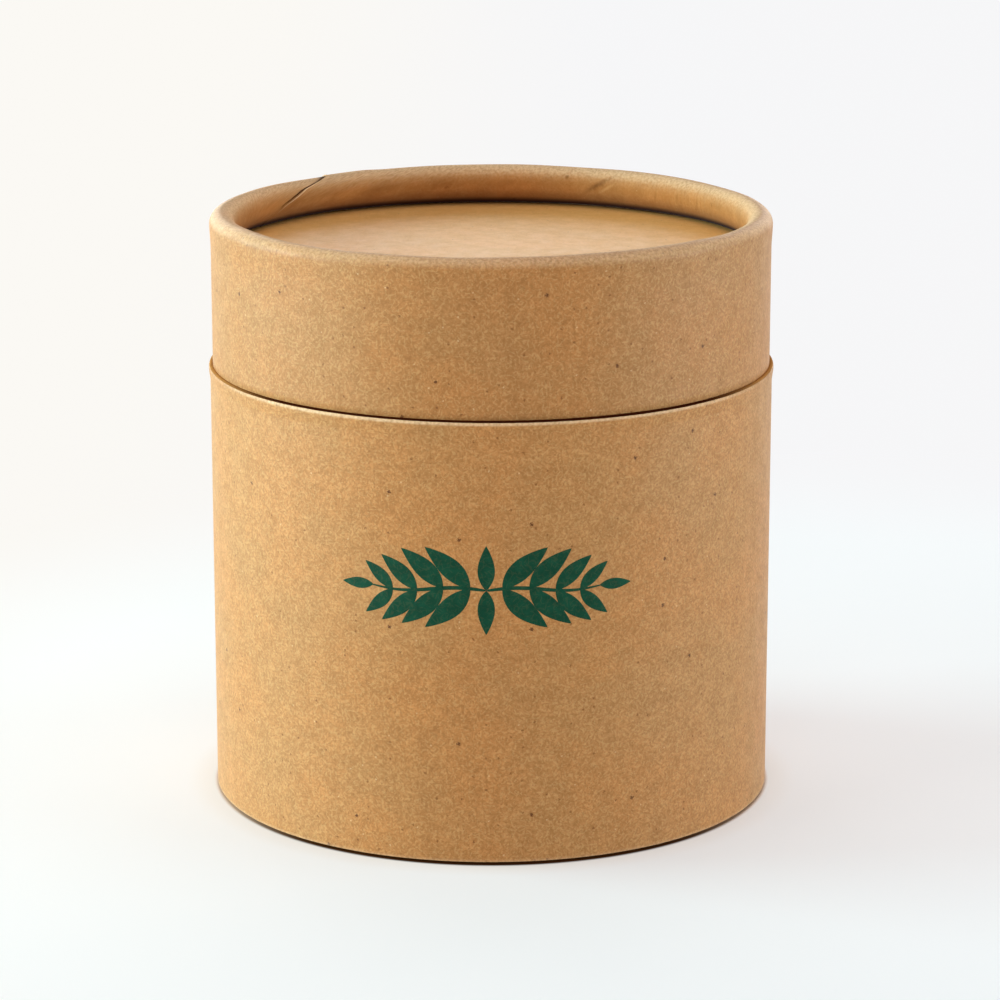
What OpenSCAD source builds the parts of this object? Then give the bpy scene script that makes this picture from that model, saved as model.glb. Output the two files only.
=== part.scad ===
// Cylindrical gift tube box: a board base with a neck, and a lift-off lid with a curled rim.
// Millimetres, +Z up, origin at the centre of the foot.

/* [Base] */
// Outer diameter of the base, over the face paper
base_d = 96; // [60:1:160]
// Height of the base wall, foot to mouth
base_h = 74; // [40:1:160]
// Thickness of the base's board wall
base_board = 1.6; // [1:0.1:3]
// How far the cut mouth of the base flares out
mouth_flare = 0.25; // [0:0.05:0.6]
// Height of the flared stretch below the mouth
mouth_flare_h = 3; // [2:0.5:6]
// Radius of the rounded mouth edge
mouth_r = 0.5; // [0.4:0.05:0.8]
// Depth of the bottom disc above the foot
foot_recess = 2.5; // [1:0.1:6]
// Thickness of the bottom board disc
base_disc_t = 1.8; // [1:0.1:3]

/* [Neck] */
// Thickness of the neck's board wall
neck_board = 0.9; // [0.6:0.1:2]
// Thickness of the paper on both faces of the neck
neck_paper = 0.15; // [0.1:0.05:0.3]

/* [Lid] */
// Height of the lid, mouth to the top of the rim
lid_h = 25.5; // [18:0.5:60]
// Thickness of the lid's board wall
lid_board = 0.75; // [0.5:0.05:1]
// Thickness of the lid's lining paper
lid_paper = 0.15; // [0.1:0.05:0.3]
// Thickness of the lid's board disc
lid_disc_t = 1.5; // [1:0.1:3]

/* [Curled rim] */
// Depth of the lid's disc below the top of the rim
rim_drop = 6.9; // [5.5:0.1:10]
// Radius of the curl on its outer side
curl_out_r = 1.9; // [1.4:0.1:2.4]
// Radius of the curl on its inner side
curl_in_r = 2.5; // [1.8:0.1:3]
// Gap between the curl's cut end and the inside of the lid wall
curl_gap = 0.4; // [0.2:0.1:0.8]
// How far the lid wall swells out below the curl
rim_flare = 0.15; // [0:0.05:0.4]
// Height of that swelling stretch
rim_flare_h = 4; // [2:0.5:8]

/* [Paper] */
// Thickness of the kraft face paper
face_paper = 0.2; // [0.1:0.05:0.3]
// Width of the overlap where the face paper is glued on itself
overlap_w = 8; // [4:1:14]
// Direction of the lid paper's free edge, from +X towards +Y
lid_seam_at = 137; // [90:1:180]
// Direction of the base paper's free edge, from +X towards +Y
base_seam_at = 116; // [100:1:170]
// Rounding of the paper where it is cut flush
cut_r = 0.1; // [0.05:0.01:0.1]

/* [Fits] */
// Radial clearance between the neck and the lid's lining
slide_gap = 0.2; // [0.1:0.05:0.4]
// Height of the open line between the base's mouth and the lid
seam_gap = 0.5; // [0.3:0.1:1.5]
// Clearance between the top of the neck and the lid's ceiling
seat_gap = 0.3; // [0.2:0.1:1]

/* [Hidden] */
$fn = 180;

// Radii from the outside of the base inwards, then from the neck outwards to the lid
base_r = base_d / 2;
bore_r = base_r - face_paper - base_board;
neck_board_r = bore_r - neck_paper;
neck_in_r = neck_board_r - neck_board;
inside_r = neck_in_r - neck_paper;
mouth_x = base_r + mouth_flare - mouth_r;
lid_in_r = bore_r + slide_gap;
lid_bore_r = lid_in_r + lid_paper;
lid_r = lid_bore_r + lid_board + face_paper;
rim_r = lid_r + rim_flare;

// Heights from the foot up
base_disc_z = foot_recess + face_paper;
floor_z = base_disc_z + base_disc_t;
mouth_z = base_h - mouth_r;
lid_z = base_h + seam_gap;
top_z = lid_z + lid_h;
lid_disc_top = top_z - rim_drop;
lid_disc_z = lid_disc_top - face_paper - lid_disc_t;
ceiling_z = lid_disc_z - neck_paper;
neck_top = ceiling_z - seat_gap;

// The curl is three tangent arcs: over the top outwards, over the top inwards, and a tail that
// runs back out to the disc, where its cut end stays curl_gap clear of the wall
lid_skin = face_paper + lid_board;
curl_x = rim_r - curl_out_r;
out_z = top_z - curl_out_r;
in_z = top_z - curl_in_r;
inner_x = curl_x - curl_in_r;
tail_w = lid_bore_r - curl_gap - inner_x;
tail_h = in_z - lid_disc_top;
tail_r = (tail_w * tail_w + tail_h * tail_h - lid_skin * lid_skin) / (2 * (tail_w - lid_skin));

kraft = [0.69, 0.49, 0.31];
kraft_light = [0.76, 0.58, 0.40];
board = [0.62, 0.50, 0.38];

// Angle that a width of paper takes round a wall of radius r
function span(w, r) = w / r * 180 / PI;

// Flat section of a round disc or ring, from r0 to r1 and from z0 to z1
module ring(r0, r1, z0, z1) {
    rotate_extrude() translate([r0, z0]) square([r1 - r0, z1 - z0]);
}

// Section of the base wall, drawn in by t from the outside of the face paper
module base_section(t) {
    polygon([[bore_r, 0], [base_r - t, 0], [base_r - t, base_h - mouth_flare_h],
             [mouth_x + mouth_r - t, mouth_z], [mouth_x, mouth_z], [mouth_x, base_h - t],
             [bore_r, base_h - t]]);
    translate([mouth_x, mouth_z]) circle(mouth_r - t);
}

// Layer of the base wall between two depths, kept below the mouth's edge
module base_layer(t0, t1) {
    difference() {
        base_section(t0);
        base_section(t1);
        translate([0, mouth_z]) square([mouth_x, base_h]);
    }
}

// Board of the base: a straight tube with its cut mouth rounded over
module base_tube() {
    color(board) rotate_extrude() base_section(face_paper);
}

// Face paper of the base, wound once round and glued on itself at the back
module base_wrap() {
    lap = span(overlap_w, base_r);
    color(kraft) union() {
        rotate_extrude() difference() {
            base_layer(0, face_paper);
            translate([base_r - cut_r, 0]) difference() {
                square(cut_r);
                translate([0, cut_r]) circle(cut_r);
            }
        }
        rotate_extrude(angle = lap, start = base_seam_at - lap)
            base_layer(-face_paper, face_paper / 2);
    }
}

// Board disc that closes the foot
module base_disc() {
    color(board) ring(0, bore_r - face_paper, base_disc_z, floor_z);
}

// Paper on the underside of the bottom disc, turned up round its edge
module base_disc_facing() {
    color(kraft) rotate_extrude() {
        translate([0, foot_recess]) square([bore_r, face_paper]);
        translate([bore_r - face_paper, foot_recess]) square([face_paper, floor_z - foot_recess]);
    }
}

// Paper on the floor inside
module floor_liner() {
    color(kraft_light) ring(0, inside_r, floor_z, floor_z + neck_paper);
}

// Inner tube that stands on the bottom disc and guides the lid
module neck_tube() {
    color(board) ring(neck_in_r, neck_board_r, floor_z, neck_top);
}

// Paper on the outside of the neck
module neck_facing() {
    color(kraft_light) ring(neck_board_r, bore_r, floor_z, neck_top);
}

// Paper on the inside of the neck
module neck_lining() {
    color(kraft_light) ring(inside_r, neck_in_r, floor_z, neck_top);
}

// Quarter or other piece of an arc band about [x, z], inside the box from lo to hi
module arc_band(x, z, r_out, r_in, lo, hi) {
    intersection() {
        translate([x, z]) difference() {
            circle(r_out);
            circle(r_in);
        }
        translate(lo) square(hi - lo);
    }
}

// Layer of the curled rim between two depths: up the wall, over the top and down the tail
module lid_layer(t0, t1) {
    reach = curl_in_r + rim_drop;
    polygon([[lid_r - t1, lid_z], [lid_r - t0, lid_z], [lid_r - t0, out_z - rim_flare_h],
             [rim_r - t0, out_z], [rim_r - t1, out_z], [lid_r - t1, out_z - rim_flare_h]]);
    arc_band(curl_x, out_z, curl_out_r - t0, curl_out_r - t1,
             [curl_x, out_z], [curl_x + reach, out_z + reach]);
    arc_band(curl_x, in_z, curl_in_r - t0, curl_in_r - t1,
             [curl_x - reach, in_z], [curl_x, in_z + reach]);
    arc_band(inner_x + tail_r, in_z, tail_r - t0, tail_r - t1,
             [inner_x - reach, lid_disc_top], [inner_x + tail_r, in_z]);
}

// Board of the lid: a thin wall whose top edge is rolled over inwards, its cut end on the disc
module lid_tube() {
    color(board) rotate_extrude() lid_layer(face_paper, lid_skin);
}

// Face paper of the lid, rolled over with the board, with the free edge of its overlap
module lid_wrap() {
    lap = span(overlap_w, lid_r);
    color(kraft) union() {
        rotate_extrude() difference() {
            lid_layer(0, face_paper);
            translate([lid_r - cut_r, lid_z]) difference() {
                square(cut_r);
                translate([0, cut_r]) circle(cut_r);
            }
        }
        rotate_extrude(angle = lap, start = lid_seam_at - lap)
            lid_layer(-face_paper, face_paper / 2);
    }
}

// Board disc held under the curl
module lid_disc() {
    color(board) ring(0, lid_bore_r - face_paper, lid_disc_z, lid_disc_top - face_paper);
}

// Paper on top of the lid's disc, turned down round its edge
module lid_disc_facing() {
    color(kraft) rotate_extrude() {
        translate([0, lid_disc_top - face_paper]) square([lid_bore_r, face_paper]);
        translate([lid_bore_r - face_paper, lid_disc_z])
            square([face_paper, lid_disc_top - lid_disc_z]);
    }
}

// Paper on the underside of the lid's disc, the ceiling inside
module lid_disc_liner() {
    color(kraft_light) ring(0, lid_bore_r, ceiling_z, lid_disc_z);
}

// Paper on the inside of the lid wall
module lid_lining() {
    color(kraft_light) ring(lid_in_r, lid_bore_r, lid_z, ceiling_z);
}

base_tube();
base_wrap();
base_disc();
base_disc_facing();
floor_liner();
neck_tube();
neck_facing();
neck_lining();
lid_tube();
lid_wrap();
lid_disc();
lid_disc_facing();
lid_disc_liner();
lid_lining();
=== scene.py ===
import bmesh
import bpy
import numpy as np
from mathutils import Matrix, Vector


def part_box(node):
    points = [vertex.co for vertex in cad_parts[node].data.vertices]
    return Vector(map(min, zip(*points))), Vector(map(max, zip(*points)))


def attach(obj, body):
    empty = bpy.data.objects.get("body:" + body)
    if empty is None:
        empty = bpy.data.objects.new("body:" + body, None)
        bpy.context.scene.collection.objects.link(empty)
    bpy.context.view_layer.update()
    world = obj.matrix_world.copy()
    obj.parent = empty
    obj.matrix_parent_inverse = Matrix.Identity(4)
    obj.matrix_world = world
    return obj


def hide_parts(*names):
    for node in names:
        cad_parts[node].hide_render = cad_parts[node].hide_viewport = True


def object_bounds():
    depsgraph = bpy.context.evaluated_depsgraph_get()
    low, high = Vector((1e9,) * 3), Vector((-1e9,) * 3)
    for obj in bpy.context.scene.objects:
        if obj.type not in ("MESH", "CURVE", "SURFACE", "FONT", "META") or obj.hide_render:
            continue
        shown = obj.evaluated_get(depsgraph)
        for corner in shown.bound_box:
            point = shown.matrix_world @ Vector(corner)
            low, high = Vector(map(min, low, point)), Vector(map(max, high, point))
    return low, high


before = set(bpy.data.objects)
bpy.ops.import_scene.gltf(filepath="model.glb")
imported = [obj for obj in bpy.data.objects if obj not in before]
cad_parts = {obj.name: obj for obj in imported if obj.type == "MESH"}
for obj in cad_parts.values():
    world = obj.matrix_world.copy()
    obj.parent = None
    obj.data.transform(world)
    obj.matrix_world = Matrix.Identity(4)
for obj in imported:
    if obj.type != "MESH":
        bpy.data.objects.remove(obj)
cadLow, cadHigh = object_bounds()
mm = 0.001
print("frame loaded with", len(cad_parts), "nodes")


# Sizes that the frame gives, in millimetres like every size below

def outerRadius(node):
    low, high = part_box(node)
    return (high.x - low.x) / 2 / mm


def heights(node):
    low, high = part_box(node)
    return low.z / mm, high.z / mm


boreRadius = outerRadius("base_disc_facing")
insideRadius = outerRadius("floor_liner")
neckBoardRadius = outerRadius("neck_tube")
lidBoreRadius = outerRadius("lid_disc_liner")
mouthRadius = outerRadius("base_wrap")
rimRadius = outerRadius("lid_wrap")
baseTop = heights("base_wrap")[1]
lidFoot = heights("lid_lining")[0]
lidDiscTop = heights("lid_disc_facing")[1]


# Curves and sections

fullTurn = 2 * np.pi
samePoint = 1e-6  # points of a line nearer than this are one
cutEdge = {"chamfer": 0.03, "spacing": 0.02, "notchHalf": 0.04, "notchDepth": 0.1}


def smoothStep(x):
    # 0 below 0, 1 above 1, and 3x^2 - 2x^3 between them
    x = np.clip(x, 0, 1)
    return x * x * (3 - 2 * x)


def ease(x, start, length):
    # smooth rise from 0 at start to 1 a length further on; a length below 0 makes it a fall to 0
    return smoothStep((x - start) / length)


def window(x, eases):
    # product of the eases of x over the pairs (start, length)
    share = 1.0
    for start, length in eases:
        share = share * ease(x, start, length)
    return share


def bell(x, width):
    # e to the power of minus (x / width)^2
    return np.exp(-((x / width) ** 2))


def ridge(x, size, at, width):
    # a bell of this size about a place, and a dip where the size is below 0
    return size * bell(x - at, width)


def waves(angle, terms):
    # sum of height * sin(count * angle + phase) over the terms (count, height, phase)
    return sum(height * np.sin(count * angle + phase) for count, height, phase in terms)


def wrapped(angle):
    # the same direction, between minus and plus half a turn
    return (angle + np.pi) % fullTurn - np.pi


def straight(start, end, count):
    # evenly spaced points from start to end, as radii and heights
    return np.linspace(start[0], end[0], count), np.linspace(start[1], end[1], count)


def arc(centre, radius, startDegrees, endDegrees, count):
    # centre + radius * (cos t, sin t), with t running from start to end
    t = np.radians(np.linspace(startDegrees, endDegrees, count))
    return centre[0] + radius * np.cos(t), centre[1] + radius * np.sin(t)


def joinLine(*stretches):
    # One line from its stretches, with the length run so far. The normal (outR, outZ) is the
    # tangent turned a quarter to the right, so it points out of a wall that is followed upwards
    r = np.concatenate([stretch[0] for stretch in stretches])
    z = np.concatenate([stretch[1] for stretch in stretches])
    kept = np.r_[True, np.hypot(np.diff(r), np.diff(z)) > samePoint]
    r, z = r[kept], z[kept]
    run = np.r_[0, np.cumsum(np.hypot(np.diff(r), np.diff(z)))]
    alongR, alongZ = np.gradient(r, run), np.gradient(z, run)
    size = np.hypot(alongR, alongZ)
    return {"run": run, "r": r, "z": z, "outR": alongZ / size, "outZ": -alongR / size}


def notches(cuts, half, depth):
    # three points for each line between two plies, the middle one sunk: places and depths
    return (cuts[:, None] + np.array([-half, 0, half])).ravel(), np.tile([0, depth, 0], len(cuts))


def layerSection(line, outer, inner, pole=None, plies=0):
    # Section of a layer between two depths under a line. It goes along the face, over the cut
    # end, back along the underside and over the other cut end. An end on the axis is a pole
    # and has no cut. Plies are marked on the cut ends by small notches between them
    whole, chamfer, spacing = line["run"][-1], cutEdge["chamfer"], cutEdge["spacing"]
    low = 0 if pole == "start" else chamfer
    high = whole if pole == "end" else whole - chamfer
    between = (line["run"] > low + spacing) & (line["run"] < high - spacing)
    faceRun = np.r_[low, line["run"][between], high]
    backRun = np.r_[faceRun[:-1:2], faceRun[-1]][::-1]
    cuts = np.arange(1, plies) / max(plies, 1) * (inner - outer) + outer
    notched, sunk = notches(cuts, cutEdge["notchHalf"], cutEdge["notchDepth"])
    cutDepth = np.r_[outer + chamfer, notched, inner - chamfer]
    cutIn = np.r_[0, sunk, 0]
    startCut = (cutIn[::-1], cutDepth[::-1])
    endCut = (whole - cutIn, cutDepth)
    face = (faceRun, np.full(len(faceRun), outer))
    back = (backRun, np.full(len(backRun), inner))
    order = {None: (face, endCut, back, startCut), "start": (face, endCut, back),
             "end": (back, startCut, face)}[pole]
    run = np.concatenate([part[0] for part in order])
    depth = np.concatenate([part[1] for part in order])
    outR, outZ = (np.interp(run, line["run"], line[key]) for key in ("outR", "outZ"))
    r = np.interp(run, line["run"], line["r"]) - outR * depth
    z = np.interp(run, line["run"], line["z"]) - outZ * depth
    share = (inner - depth) / (inner - outer)
    return {"run": run, "r": r, "z": z, "outR": outR, "outZ": outZ, "share": share}


def columnsAround(count, crowded=(), fineCount=20001):
    # Angles from 0 to a full turn, closer together near each (angle, halfWidth, density): the
    # running sum of the density over fineCount angles is cut into equal steps
    fine = np.linspace(0, fullTurn, fineCount)
    density = np.ones_like(fine)
    for angle, halfWidth, extra in crowded:
        density += extra * bell(np.abs(wrapped(fine - angle)), halfWidth)
    total = np.r_[0, np.cumsum((density[1:] + density[:-1]) / 2)]
    return np.interp(np.arange(count) / count * total[-1], total, fine)


# Meshes

def buildMesh(name, points, quads, triangles, quadMap, triangleMap, material):
    # Faces are turned round if the volume, the sum of a . (b x c) over the faces, is negative
    a, b, c, d = (points[quads[:, corner]] for corner in range(4))
    e, f, g = (points[triangles[:, corner]] for corner in range(3))
    volume = np.sum(a * np.cross(b, c)) + np.sum(a * np.cross(c, d)) + np.sum(e * np.cross(f, g))
    if volume < 0:
        quads, triangles = quads[:, ::-1], triangles[:, ::-1]
        quadMap, triangleMap = quadMap[:, ::-1], triangleMap[:, ::-1]
    mesh = bpy.data.meshes.new(name)
    mesh.from_pydata(points.tolist(), [], quads.tolist() + triangles.tolist())
    paperMap = mesh.uv_layers.new(name="paperMap")
    corners = np.concatenate([quadMap.reshape(-1, 2), triangleMap.reshape(-1, 2)])
    paperMap.uv.foreach_set("vector", corners.astype(np.float32).ravel())
    mesh.shade_smooth()
    mesh.materials.append(material)
    piece = bpy.data.objects.new(name, mesh)
    bpy.context.scene.collection.objects.link(piece)
    return piece


def gridCells(rows, columns):
    # row and column of every cell of a grid, each as one flat array
    return (index.ravel() for index in np.meshgrid(np.arange(rows), np.arange(columns), indexing="ij"))


def spin(name, section, azimuth, columns, material, push=0, lift=0, poles=False, mapRadius=48):
    # Row i is a point of the section and column j a direction round the axis:
    # x = radius cos(azimuth), y = radius sin(azimuth), z = height, after each point has moved
    # by push along its normal and by lift upwards. With poles, the first and the last row are
    # single points on the axis. The paper map is (length round the wall, length along the
    # section) on a wall and (x, y) on a disc, both in millimetres
    rowCount, columnCount = len(section["r"]), len(columns)
    shape = (rowCount, columnCount)
    azimuth, push = np.broadcast_to(azimuth, shape), np.broadcast_to(push, shape)
    radius = section["r"][:, None] + section["outR"][:, None] * push
    height = section["z"][:, None] + section["outZ"][:, None] * push + lift
    grid = np.stack([radius * np.cos(azimuth), radius * np.sin(azimuth), height], axis=-1)
    points = grid.reshape(-1, 3)
    step = np.hypot(np.diff(section["r"], append=section["r"][0]),
                    np.diff(section["z"], append=section["z"][0]))
    alongMap = np.r_[0, np.cumsum(step)]
    aroundMap = np.r_[columns, fullTurn] * mapRadius
    lastRow = rowCount - 1 if poles else rowCount
    i, j = gridCells(lastRow, columnCount)
    nextI, nextJ = (i + 1) % rowCount, (j + 1) % columnCount
    quads = np.stack([i * columnCount + j, i * columnCount + nextJ,
                      nextI * columnCount + nextJ, nextI * columnCount + j], axis=1)
    if poles:
        quadMap = points[quads][:, :, :2]
        flat = (i == 0) | (i == lastRow - 1)
        first, final = quads[i == 0], quads[i == lastRow - 1]
        top = np.stack([np.zeros(columnCount, int), first[:, 2], first[:, 3]], axis=1)
        bottom = np.stack([final[:, 0], final[:, 1], np.full(columnCount, len(points) - 1)], axis=1)
        triangles = np.concatenate([top, bottom])
        triangleMap = points[triangles][:, :, :2]
        quads, quadMap = quads[~flat], quadMap[~flat]
        used = np.unique(np.concatenate([quads.ravel(), triangles.ravel()]))
        place = np.zeros(len(points), int)
        place[used] = np.arange(len(used))
        points, quads, triangles = points[used], place[quads], place[triangles]
    else:
        corners = [(j, i), (j + 1, i), (j + 1, i + 1), (j, i + 1)]
        quadMap = np.stack([np.stack([aroundMap[u], alongMap[v]], axis=1) for u, v in corners], axis=1)
        triangles, triangleMap = np.zeros((0, 3), int), np.zeros((0, 3, 2))
    return buildMesh(name, points * mm, quads, triangles, quadMap, triangleMap, material)


def mergeDoubles(piece, distance):
    cells = bmesh.new()
    cells.from_mesh(piece.data)
    bmesh.ops.remove_doubles(cells, verts=cells.verts, dist=distance)
    bmesh.ops.recalc_face_normals(cells, faces=cells.faces)
    cells.to_mesh(piece.data)
    cells.free()


def finishPiece(piece, body, slot, *nodes):
    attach(piece, body)
    if nodes:
        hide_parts(*nodes)
    return piece


# Material nodes

def colour(red, green, blue):
    return red, green, blue, 1


def addNode(tree, kind, inputs=None, **options):
    node = tree.nodes.new("ShaderNode" + kind)
    for key, value in options.items():
        setattr(node, key, value)
    for key, value in (inputs or {}).items():
        if isinstance(value, bpy.types.NodeSocket):
            tree.links.new(value, node.inputs[key])
        else:
            node.inputs[key].default_value = value
    return node


def noise(tree, vector, scale, detail=2, roughness=0.5, output="Fac"):
    return addNode(tree, "TexNoise", {"Vector": vector, "Scale": scale, "Detail": detail,
                                      "Roughness": roughness}).outputs[output]


def rise(tree, value, low, high):
    # 0 below low, 1 above high, smooth between them
    return addNode(tree, "MapRange", {"Value": value, "From Min": low, "From Max": high},
                   interpolation_type="SMOOTHSTEP").outputs["Result"]


def calculate(tree, operation, first, second):
    return addNode(tree, "Math", {0: first, 1: second}, operation=operation).outputs[0]


def times(tree, first, second):
    return calculate(tree, "MULTIPLY", first, second)


def mixColour(tree, factor, first, second):
    return addNode(tree, "Mix", {0: factor, 6: first, 7: second}, data_type="RGBA").outputs[2]


def onVectors(tree, operation, inputs, output=0):
    return addNode(tree, "VectorMath", inputs, operation=operation).outputs[output]


def newMaterial(name):
    material = bpy.data.materials.new(name)
    material.use_nodes = True
    tree = material.node_tree
    return material, tree, tree.nodes["Principled BSDF"]


def sheetOf(tree):
    return addNode(tree, "UVMap", uv_map="paperMap").outputs["UV"]


def addBump(tree, shader, height, look):
    bump = addNode(tree, "Bump", {"Height": height, "Strength": look["relief"],
                                  "Distance": look["reliefDepth"] * mm})
    tree.links.new(bump.outputs["Normal"], shader.inputs["Normal"])


def placeOf(tree):
    # height, distance in front of the axis and length run along the section, all in metres
    parts = addNode(tree, "SeparateXYZ", {0: addNode(tree, "TexCoord").outputs["Object"]}).outputs
    run = addNode(tree, "SeparateXYZ", {0: sheetOf(tree)}).outputs["Y"]
    return {"height": parts["Z"], "front": times(tree, parts["Y"], -1), "run": times(tree, run, mm)}


def placeMask(tree, place, limits):
    # product of the smooth rises over the stretches of the keys, in millimetres
    mask = 1.0
    for key, start, end in limits:
        mask = times(tree, mask, rise(tree, place[key], start * mm, end * mm))
    return mask


def seenRays(tree):
    # 1 for what is seen straight, mirrored or through something clear, 0 for the light given on
    rays = addNode(tree, "LightPath").outputs
    seen = calculate(tree, "MAXIMUM", rays["Is Camera Ray"], rays["Is Glossy Ray"])
    return calculate(tree, "MAXIMUM", seen, rays["Is Transmission Ray"])


def paperFibres(tree, sheet, look):
    # Fibres lie in several directions: each direction is noise stretched along it, and its
    # high and low tops are the light and the dark fibres. A slow warp bends them
    warp = noise(tree, sheet, *look["bendNoise"], output="Color")
    warp = onVectors(tree, "SUBTRACT", {0: warp, 1: (0.5, 0.5, 0.5)})
    warp = onVectors(tree, "SCALE", {0: warp, "Scale": look["fibreBend"]})
    bent = onVectors(tree, "ADD", {0: sheet, 1: warp})
    lightFrom, darkFrom, edge = look["lightFrom"], look["darkFrom"], look["fibreEdge"]
    light = dark = 0.0
    for index, degrees in enumerate(look["fibreDirections"]):
        laid = addNode(tree, "Mapping", {
            "Vector": bent, "Rotation": (0, 0, np.radians(degrees)),
            "Location": tuple(index * shift for shift in look["fibreShift"]),
            "Scale": (look["fibreLength"], look["fibreWidth"], 1)}, vector_type="TEXTURE").outputs[0]
        fibre = noise(tree, laid, *look["fibreNoise"])
        light = calculate(tree, "MAXIMUM", light, rise(tree, fibre, lightFrom, lightFrom + edge))
        dark = calculate(tree, "MAXIMUM", dark, rise(tree, fibre, darkFrom, darkFrom - edge))
    return light, dark


def spotLook(scale, share, size, strength, tone):
    # cells in a millimetre, the share of them with a spot, its radius in mm, its strength and tone
    return {"scale": scale, "share": share, "size": size, "strength": strength, "tone": tone}


spotEdge = {"noise": (5, 1), "range": (0.2, 0.8), "soft": 0.05}


def spotMask(tree, sheet, spots):
    # Cells of one spot each; a share of the cells shows it, with an uneven edge
    cells = addNode(tree, "TexVoronoi", {"Vector": sheet, "Scale": spots["scale"], "Randomness": 1},
                    voronoi_dimensions="2D")
    draw = addNode(tree, "SeparateColor", {0: cells.outputs["Color"]}).outputs[0]
    chosen = calculate(tree, "LESS_THAN", draw, spots["share"])
    uneven = noise(tree, sheet, *spotEdge["noise"])
    low, high = spotEdge["range"]
    edge = addNode(tree, "MapRange", {"Value": uneven, "From Min": low, "From Max": high,
                                      "To Max": 2 * spots["size"] * spots["scale"]}).outputs["Result"]
    past = calculate(tree, "SUBTRACT", cells.outputs["Distance"], edge)
    near = rise(tree, past, spotEdge["soft"] * spots["scale"], 0)
    return times(tree, times(tree, near, chosen), spots["strength"])


markEdge = {"noise": (1.3, 2), "core": 0.3}


def markOrLightMask(tree, sheet, markOrLight):
    # 1 in the middle of a leaning oval of the sheet, 0 at its edge, with the edge frayed by noise
    laid = addNode(tree, "Mapping", {
        "Vector": sheet, "Location": (*markOrLight["at"], 0), "Rotation": (0, 0, np.radians(markOrLight["lean"])),
        "Scale": (markOrLight["length"], markOrLight["width"], 1)}, vector_type="TEXTURE").outputs[0]
    away = onVectors(tree, "LENGTH", {0: laid}, "Value")
    fray = times(tree, noise(tree, sheet, *markEdge["noise"]), markOrLight["fray"])
    mask = rise(tree, calculate(tree, "ADD", away, fray), 1 + markOrLight["fray"] / 2, markEdge["core"])
    return times(tree, mask, markOrLight["strength"])


def paperMaterial(name, look):
    # From the sheet up: a tone that drifts between two hues, slow clouds, fine grain, light
    # and dark fibres, and scattered spots, all weaker where the paper is rubbed smooth. Then
    # painted highlights, marks among which are painted shade and painted highlights, and painted shade
    material, tree, shader = newMaterial(name)
    sheet = sheetOf(tree)
    place = placeOf(tree)
    light, dark = paperFibres(tree, sheet, look)
    grain = noise(tree, sheet, *look["grainNoise"])
    speckle = rise(tree, grain, *look["grainEdge"])
    marks = [spotMask(tree, sheet, spots) for spots in look["spots"]]
    if "smoothAt" in look:
        smooth = placeMask(tree, place, look["smoothAt"])
        kept = calculate(tree, "SUBTRACT", 1, times(tree, smooth, look["smoothing"]))
        light, dark, speckle = (times(tree, mask, kept) for mask in (light, dark, speckle))
        marks = [times(tree, mark, kept) for mark in marks]
        rough = calculate(tree, "SUBTRACT", 1, smooth)
        tree.links.new(times(tree, rough, look["specular"]), shader.inputs["Specular IOR Level"])
    else:
        shader.inputs["Specular IOR Level"].default_value = look["specular"]
    drift = rise(tree, noise(tree, sheet, *look["driftNoise"]), *look["driftEdge"])
    tone = mixColour(tree, drift, look["warm"], look["cool"])
    cloud = rise(tree, noise(tree, sheet, *look["cloudNoise"]), *look["cloudEdge"])
    tone = mixColour(tree, times(tree, cloud, look["cloud"]), tone, look["shade"])
    tone = mixColour(tree, times(tree, speckle, look["grain"]), tone, look["shade"])
    tone = mixColour(tree, times(tree, light, look["light"]), tone, look["pale"])
    tone = mixColour(tree, times(tree, dark, look["dark"]), tone, look["shade"])
    for shown, spots in zip(marks, look["spots"]):
        tone = mixColour(tree, shown, tone, spots["tone"])
    # painted highlights, broken up by the grain
    low, high, least = look["highlightGrain"]
    for limits, strength in look.get("paintedHighlight", ()):
        paintedHighlight = times(tree, placeMask(tree, place, limits), strength)
        highlightSpeckle = addNode(tree, "MapRange", {"Value": grain, "From Min": low, "From Max": high,
                                            "To Min": 1, "To Max": least}).outputs["Result"]
        tone = mixColour(tree, times(tree, paintedHighlight, highlightSpeckle), tone, look["highlightTone"])
    # marks on the sheet, among them painted shade and painted highlights
    for markOrLight in look.get("rimMarksAndLight", ()):
        tone = mixColour(tree, markOrLightMask(tree, sheet, markOrLight), tone, markOrLight["tone"])
    for limits, strength in look.get("shaded", ()):
        shaded = times(tree, placeMask(tree, place, limits), strength)
        tone = mixColour(tree, shaded, tone, look["shadeTone"])
    tree.links.new(tone, shader.inputs["Base Color"])
    addBump(tree, shader, calculate(tree, "ADD", calculate(tree, "SUBTRACT", light, dark), grain), look)
    roughness, drift = look["roughness"], look["roughDrift"]
    uneven = addNode(tree, "MapRange", {"Value": cloud, "To Min": roughness - drift,
                                        "To Max": roughness + drift}).outputs["Result"]
    tree.links.new(uneven, shader.inputs["Roughness"])
    shader.inputs["Sheen Weight"].default_value = look["sheen"]
    shader.inputs["Sheen Roughness"].default_value = look["sheenRoughness"]
    return material


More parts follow.
